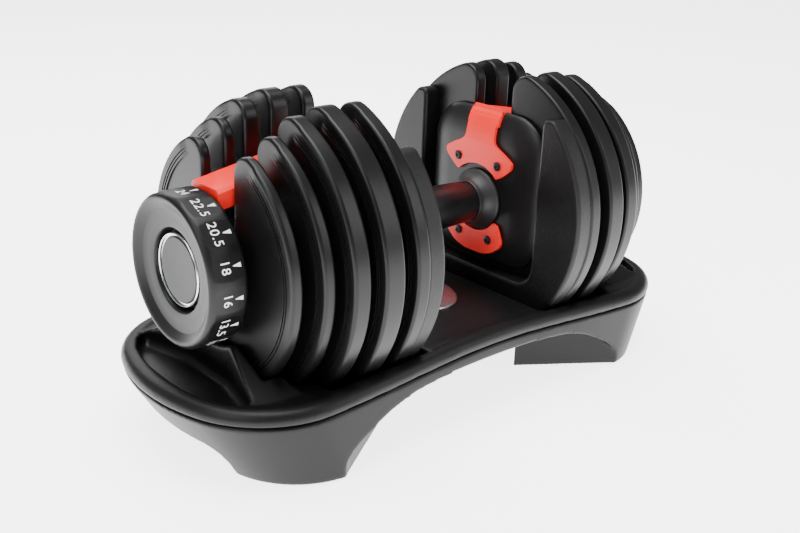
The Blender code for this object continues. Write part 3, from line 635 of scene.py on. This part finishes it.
def guards():
    for label, side in SIDES:
        near, far = reach(f"{label}_inner_guard")
        rows = []
        rows += [(inset, near + fall) for inset, fall in mm(*DOME)]
        rows += [(0, far - 0.6 * MM), (0.6 * MM, far)]
        points = [[(side * x, y, AXIS_Z + z) for y, z in guard_outline(inset)] for inset, x in rows]
        shell = rows_to_mesh(f"{label}_guard_shell", points)
        notch = beam(f"{label}_notch", side, near - 5 * MM, far + 5 * MM, 0.5 * MM)
        shell = combined(shell, "DIFFERENCE", notch)
        finished(
            even_normals(smooth(shell, 30)), GUARD_BLACK, "handle", "dial_black", f"{label}_inner_guard"
        )


def beam(name, side, start, end, extra=0.0, crown=0.0):
    """The bridge's beam: a flat top that climbs towards the guard, sloped shoulders and upright sides."""

    def top(x):
        t = (x - 173.6 * MM) / (63 * MM - 173.6 * MM)
        return BEAM_AT_DIAL + (BEAM_AT_GUARD - BEAM_AT_DIAL) * t

    rows = []
    steps = 12
    for i in range(steps + 1):
        x = start + (end - start) * i / steps
        high = top(x) + extra - crown
        low = top(x) - 13 * MM - extra
        half = [(15.6 * MM + extra, low), (15.6 * MM + extra, high - 2.2 * MM), (13.4 * MM + extra, high)]
        rows.append([(side * x, y, AXIS_Z + z) for y, z in mirrored(half)])
    return rows_to_mesh(name, rows)


def stem_outline():
    hollow = arc((0, 0), 27.8 * MM, 90, 45, 12)
    lobe = mm((22.5, 20.8), (28, 24.9), (32.4, 28.8), (33.9, 30.7), (34.4, 32.8), (33.9, 34.7))
    lobe += mm((32.2, 36.1))
    rise = mm((26, 39.7), (21, 42), (17.8, 43.7), (15.6, 45.6), (14.6, 48.4), (14.4, 52), (14.4, 64))
    return mirrored(hollow + lobe + rise)


def lower_outline():
    hollow = arc((0, 0), 24.3 * MM, -90, -37, 12)
    lobe = mm((23.8, -15.6), (27, -21.5), (29.3, -26.6), (29.6, -29), (28.9, -31.4), (26.9, -33.8))
    return mirrored(hollow + lobe + mm((21.6, -38), (17, -40.2), (9, -42.3)))


def pin_slot(name, pin):
    """Room for a lock pin and for its drop, through the drop's lower end."""
    low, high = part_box(pin)
    gap = 0.3 * MM
    left, right, front, back = low.x - gap, high.x + gap, low.y - gap, high.y + gap
    corners = [(left, front), (right, front), (right, back), (left, back)]
    return slab(name, corners, low.z - 12 * MM, high.z + 1 * MM)


def bridges():
    for label, side in SIDES:
        near = 63 * MM
        made = beam(f"{label}_bridge_body", side, near + 0.6 * MM, 173 * MM)
        stem = prism(f"{label}_stem", stem_outline(), side * near, side * 65.7 * MM)
        drop = mirrored(mm((7, -33), (13, -14), (14, 0), (14, 40)))
        drop = prism(f"{label}_drop", drop, side * 170 * MM, side * 173.6 * MM)
        made = combined(made, "UNION", stem, drop)
        hole = lathe(f"{label}_hub_hole", mm((0, 168), (12.7, 168), (12.7, 176), (0, 176)), side, 64)
        slot = pin_slot(f"{label}_pin_slot", f"{label}_lock_pin")
        made = lean_back(combined(made, "DIFFERENCE", hole, slot), side)
        rounded(made, 0.9 * MM, 3)
        finished(
            even_normals(smooth(applied(made), 40)), HANDLE_RED, "handle", "red_plastic", f"{label}_bridge"
        )
        lower = prism(f"{label}_lower_plate", lower_outline(), side * near, side * 65.7 * MM)
        rounded(lower, 0.9 * MM, 3)
        finished(
            even_normals(smooth(applied(lower), 40)),
            HANDLE_RED,
            "handle",
            "red_plastic",
            f"{label}_lower_bracket",
        )
        for row, y, z in (("upper", 20.6, 30), ("lower", 15.8, -29)):
            for hand, sign in (("near", -1), ("far", 1)):
                head = mm((0, 62.3), (1.35, 62.3), (1.45, 61.5), (2.4, 61.45), (3.1, 61.8))
                head += mm((3.4, 62.4), (3.4, 64), (0, 64))
                node = f"{label}_{row}_screw_{hand}"
                screw = lathe(f"{node}_head", head, side, 36, (sign * y * MM, z * MM))
                finished(smooth(screw), SCREW_STEEL, "handle", "screw_black", node)


# ---------------------------------------------------------------- tray

PARTING_END = 47 * MM
PARTING_MIDDLE = 54.5 * MM


def parting(x):
    """The height of the line where the tray's top meets its skirt."""
    t = min(abs(x) / (170 * MM), 1)
    return PARTING_MIDDLE + (PARTING_END - PARTING_MIDDLE) * t * t * (3 - 2 * t)


def plan(half_length, half_width, corner, waist=3 * MM):
    """The tray seen from above: a rounded rectangle with bulging ends and a slight waist."""
    bulge = 4 * MM
    reach_in = half_length - corner
    side_start, straight = reach_in - bulge, half_width - corner
    middle = (reach_in**2 - side_start**2 - straight**2) / (2 * bulge)
    turn = math.degrees(math.atan2(straight, side_start - middle))
    quarter = arc((middle, 0), half_length - middle, 0, turn, 6)[:-1]
    quarter += arc((side_start, straight), corner, turn, 90, 22)
    for i in range(1, 25):
        x = side_start * (1 - i / 24)
        t = 1 - x / side_start
        quarter.append((x, half_width - waist * t * t * (3 - 2 * t)))
    top = quarter + [(-x, y) for x, y in reversed(quarter[:-1])]
    return top + [(x, -y) for x, y in reversed(top[1:-1])]


def strip_solid(name, rows):
    """A solid through closed rows that mirror across Y, closed by strips between mirrored points."""
    bm = bmesh.new()
    made = [[bm.verts.new(point) for point in row] for row in rows]
    count = len(rows[0])
    for low, high in zip(made, made[1:]):
        for i in range(count):
            after = (i + 1) % count
            bm.faces.new((low[i], low[after], high[after], high[i]))
    for row in (made[0], made[-1]):
        for i in range(count // 2):
            strip = [row[i], row[i + 1], row[(count - i - 1) % count], row[(count - i) % count]]
            strip = [v for n, v in enumerate(strip) if v not in strip[:n]]
            bm.faces.new(strip)
    bmesh.ops.recalc_face_normals(bm, faces=bm.faces)
    return mesh_of(bm, name)


def tray_row(inset, rise):
    outline = plan(TRAY_HIGH.x - inset, 94.5 * MM - inset, 72 * MM - inset)
    return [(x, y, parting(x) + rise) for x, y in outline]


def foot_row(inset, z):
    outline = plan(192 * MM - inset, 95.5 * MM - inset, 60 * MM - inset, 0)
    return [(x, y, z) for x, y in outline]


def fused(piece, grid, passes):
    """Melt a cut mesh into one even skin, so that its edges are softly rounded as in a mould."""
    remesh = piece.modifiers.new("fused", "REMESH")
    remesh.mode = "VOXEL"
    remesh.voxel_size = grid
    soften = piece.modifiers.new("soften", "SMOOTH")
    soften.factor = 0.5
    soften.iterations = passes
    return applied(piece)


def well_profile(extra):
    big, middle, small = 104.9 * MM + extra, 91.5 * MM + extra, 82.5 * MM + extra
    return [
        (0, 168 * MM + extra),
        (small, 168 * MM + extra),
        (small, 155 * MM + extra),
        (middle, 153 * MM + extra),
        (middle, 138 * MM + extra),
        (big, 135 * MM + extra),
        (big, 56 * MM - extra),
        (0, 56 * MM - extra),
    ]


def mound(name, side):
    """The ridge behind a dial: it rises to a cradle under the dial and runs out to the tray's corners."""
    bm = bmesh.new()
    for sign in (-1, 1):
        for x, y, z in (
            (168.5, 27, 76.5), (172.3, 27, 76.5), (168.5, 46, 58), (150, 71, 56.5), (187, 68, 56),
            (168.5, 0, 76.5), (172.3, 0, 76.5), (150, 71, 45), (190, 62, 45), (168.5, 0, 45),
        ):
            bm.verts.new((side * x * MM, sign * y * MM, z * MM))
    bmesh.ops.remove_doubles(bm, verts=bm.verts, dist=1e-6)
    bmesh.ops.convex_hull(bm, input=bm.verts)
    bmesh.ops.recalc_face_normals(bm, faces=bm.faces)
    return mesh_of(bm, name)


def basin(name, side):
    """The hollow under a dial, cut down from the deck."""
    half = mm((173.4, -23), (184.5, -66.5), (194, -59), (201, -46.5), (205.5, -28), (206.5, -8))
    outline = half + [(x, -y) for x, y in reversed(half)]
    made = slab(name, [(side * x, y) for x, y in outline], 48 * MM, 90 * MM)
    return applied(rounded(made, 5 * MM, 4, 50))


RIM = mm(
    (3.6, 0.3), (1.4, 0.3), (0.5, 0.8), (0.1, 2), (0, 3.9), (0.7, 6.1), (2.0, 8), (4.0, 9.4),
    (6.2, 10.1), (8.4, 10.3), (10.4, 9.9), (12.4, 9.0), (15, 8.6),
)


def tray_top():
    under = [tray_row(3.6 * MM, 5.5 * MM)]
    top = strip_solid("tray_deck", under + [tray_row(*step) for step in RIM])
    for label, side in SIDES:
        tub = lathe(f"{label}_tub", well_profile(3 * MM), side, 128)
        lowered = [tray_row(inset, rise - 0.6 * MM) for inset, rise in RIM[4:]]
        deep = [(x, y, 5 * MM) for x, y, _ in lowered[0]]
        envelope = strip_solid(f"{label}_envelope", [deep] + lowered)
        tub = combined(tub, "INTERSECT", envelope)
        pan_half = mm((171, 70), (187, 70.5), (197, 62), (204.5, 49), (209, 30), (210, 8))
        pan_plan = pan_half + [(x, -y) for x, y in reversed(pan_half)]
        pan = slab(f"{label}_pan", [(side * x, y) for x, y in pan_plan], 44.6 * MM, 55.6 * MM)
        top = combined(top, "UNION", tub, mound(f"{label}_mound", side), pan)
        hollow = mm((0, 160), (54, 160), (54, 173), (56, 180), (0, 180))
        cradle = lathe(f"{label}_cradle", hollow, side, 128)
        well = lathe(f"{label}_well", well_profile(0), side, 128)
        top = combined(top, "DIFFERENCE", cradle, well, basin(f"{label}_basin", side))
    top = fused(top, 1.15 * MM, 6)
    finished(smooth(top, 60), TRAY_BLACK, "base", "tray_plastic", "tray_top")


def slant_x(y, inset=0.0):
    """Where a leg's slanted inner wall stands at one distance from the tray's long middle line."""
    slope = (135 - 65) / (95 - 49)
    return 65 * MM + (y - 49 * MM) * slope + inset * math.hypot(1, slope)


def between_legs(inset=0.0):
    side = 49 * MM - inset
    quarter = [(slant_x(130 * MM, -inset), 130 * MM), (slant_x(side, -inset), side), (240 * MM, side)]
    half = quarter + [(x, -y) for x, y in reversed(quarter)]
    return half + [(-x, -y) for x, y in half]


ARCH_POINTS = (
    (139, -5), (137, 3), (132.5, 12), (127, 18), (120.5, 23), (113, 27.2), (105, 31.3), (96, 35.6),
    (86, 39), (74, 41.7), (60, 43.5), (45, 44.7), (25, 45.7), (10, 46),
)
END_ARCH_POINTS = ((48.5, -5), (48.5, 11), (46.5, 16.5), (43, 20), (37, 22), (20, 22.6))


def skirt_inside(name):
    rows = [foot_row(3 * MM, -2 * MM), foot_row(3 * MM, 1 * MM)]
    rows += [tray_row(7 * MM, -6 * MM), tray_row(7.4 * MM, -1.5 * MM), tray_row(7.4 * MM, 9 * MM)]
    return strip_solid(name, rows)


def base_skirt():
    rows = [foot_row(0.5 * MM, SKIRT_LOW.z), foot_row(0, SKIRT_LOW.z + 0.6 * MM)]
    foot, head = foot_row(0, SKIRT_LOW.z + 0.6 * MM), tray_row(0.6 * MM, -1.5 * MM)
    for t in (0.2, 0.4, 0.6, 0.8):
        rows.append([tuple(Vector(a).lerp(Vector(b), t)) for a, b in zip(foot, head)])
    rows += [head, tray_row(1.6 * MM, -0.3 * MM)]
    rows += [tray_row(4.5 * MM, -0.3 * MM), tray_row(4.7 * MM, 4.6 * MM)]  # the tongue inside the seam
    skirt = strip_solid("skirt", rows)
    rooms = slab("rooms", between_legs(), -10 * MM, 90 * MM)
    over = slab("over_legs", [(-0.25, -0.14), (0.25, -0.14), (0.25, 0.14), (-0.25, 0.14)], 45 * MM, 95 * MM)
    tools = [over]
    for x_sign in (-1, 1):
        for y_sign in (-1, 1):
            wall = 52 * MM
            pocket = [
                (slant_x(wall, 3 * MM), wall),
                (240 * MM, wall),
                (240 * MM, 130 * MM),
                (slant_x(130 * MM, 3 * MM), 130 * MM),
            ]
            tools.append(slab("pocket", [(x_sign * x, y_sign * y) for x, y in pocket], 6 * MM, 60 * MM))
    rooms = combined(rooms, "UNION", *tools)
    rooms = combined(rooms, "INTERSECT", skirt_inside("inside"))
    skirt = combined(skirt, "DIFFERENCE", rooms)
    limit = slab("limit", between_legs(0.3 * MM), -20 * MM, 100 * MM)
    arch = mirrored(mm(*ARCH_POINTS))
    for side in (-1, 1):
        rows = [[(x, side * y, z) for x, z in arch] for y in (68 * MM, 130 * MM)]
        opening = rows_to_mesh("long_arch", rows)
        boolean(opening, limit, "INTERSECT")
        skirt = combined(skirt, "DIFFERENCE", applied(opening))
        gap = [(y, z - AXIS_Z) for y, z in mirrored(mm(*END_ARCH_POINTS))]
        skirt = combined(skirt, "DIFFERENCE", prism("end_arch", gap, side * 160 * MM, side * 240 * MM))
        room = lathe("tub_room", well_profile(4 * MM), side, 96)
        skirt = combined(skirt, "DIFFERENCE", room)
    bpy.data.objects.remove(limit, do_unlink=True)
    skirt = fused(skirt, 1.15 * MM, 6)
    finished(smooth(skirt, 60), TRAY_BLACK, "base", "tray_plastic", "base_skirt")


def badge():
    """A plain oval trim on the saddle between the wells."""
    low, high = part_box("badge")
    rows = []
    for scale, rise in ((1, 0), (1, 0.5), (0.985, 1.0), (0.95, 1.2), (0.5, 1.55), (0.1, 1.7)):
        angles = [2 * math.pi * i / 96 for i in range(96)]
        z = low.z + rise * MM
        rows.append([(high.x * scale * math.cos(a), high.y * scale * math.sin(a), z) for a in angles])
    made = rows_to_mesh("badge_plate", rows)
    finished(smooth(made), BADGE_SILVER, "base", "silver_trim", "badge")


def carried_over():
    """The small working pieces keep their own solids, with a finish each."""
    names = {"handle_shaft": STEEL}
    for label, _ in SIDES:
        names[f"{label}_lock_pin"] = STEEL
        names[f"{label}_unlock_post"] = STEEL
        for number in range(1, PLATE_COUNT + 1):
            names[f"{label}_selector_disc_{number}"] = PLATE_BLACK
        for row in ("near", "far"):
            names[f"{label}_{row}_base_screw"] = STEEL
            names[f"{label}_{row}_rubber_foot"] = FOOT_RUBBER
    for name, finish in names.items():
        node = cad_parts[name]
        node.data.materials.clear()
        node.data.materials.append(finish)


# ---------------------------------------------------------------- studio


def studio():
    floor = slab("floor", [(-4, -4), (4, -4), (4, 4), (-4, 4)], -0.02, -0.0001)
    glow = {"Emission_Color": (1, 1, 1, 1), "Emission_Strength": 3.8}
    paper = Finish("floor_paper", (0.95, 0.95, 0.95), 0.9, **glow)
    floor.data.materials.append(paper.material)
    world = bpy.data.worlds.new("studio")
    world.use_nodes = True
    world.node_tree.nodes["Background"].inputs["Color"].default_value = (1, 1, 1, 1)
    world.node_tree.nodes["Background"].inputs["Strength"].default_value = 0.35
    bpy.context.scene.world = world
    lamp("overhead", (-0.1, 0.1, 1.5), (0, 0, 0.1), 1.2, 1.2, 40)
    lamp("left_box", (-1.3, -0.3, 1.1), (0, 0, 0.1), 0.7, 0.8, 9)
    lamp("right_box", (0.9, -1.2, 0.9), (0, 0, 0.1), 0.4, 1.0, 8)
    lamp("back_box", (0.3, 1.4, 0.9), (0, 0, 0.15), 1.2, 0.5, 9)


def lamp(name, at, target, width, height, power):
    light = bpy.data.lights.new(name, "AREA")
    light.shape = "RECTANGLE"
    light.size = width
    light.size_y = height
    light.energy = power
    made = bpy.data.objects.new(name, light)
    made.location = at
    made.rotation_euler = (Vector(target) - Vector(at)).to_track_quat("-Z", "Y").to_euler()
    bpy.context.scene.collection.objects.link(made)


def camera():
    """A three-quarter view over the left dial, from about the height of a table."""
    azimuth, elevation, roll = math.radians(-41.681), math.radians(21.119), math.radians(2.157)
    target, distance = Vector((0, 11.6 * MM, 80.3 * MM)), 0.79345
    back = Vector(
        (
            math.sin(azimuth) * math.cos(elevation),
            -math.cos(azimuth) * math.cos(elevation),
            math.sin(elevation),
        )
    )
    data = bpy.data.cameras.new("camera")
    data.sensor_width = 36
    data.lens = 47.54
    data.shift_x = -0.00125
    data.shift_y = -0.00125
    made = bpy.data.objects.new("camera", data)
    made.location = target + back * distance
    turn = (-back).to_track_quat("-Z", "Y").to_matrix().to_4x4() @ Matrix.Rotation(roll, 4, "Z")
    made.rotation_euler = turn.to_euler()
    bpy.context.scene.collection.objects.link(made)
    bpy.context.scene.camera = made


carried_over()
plates()
dials()
handle()
guards()
bridges()
tray_top()
base_skirt()
badge()
studio()
camera()
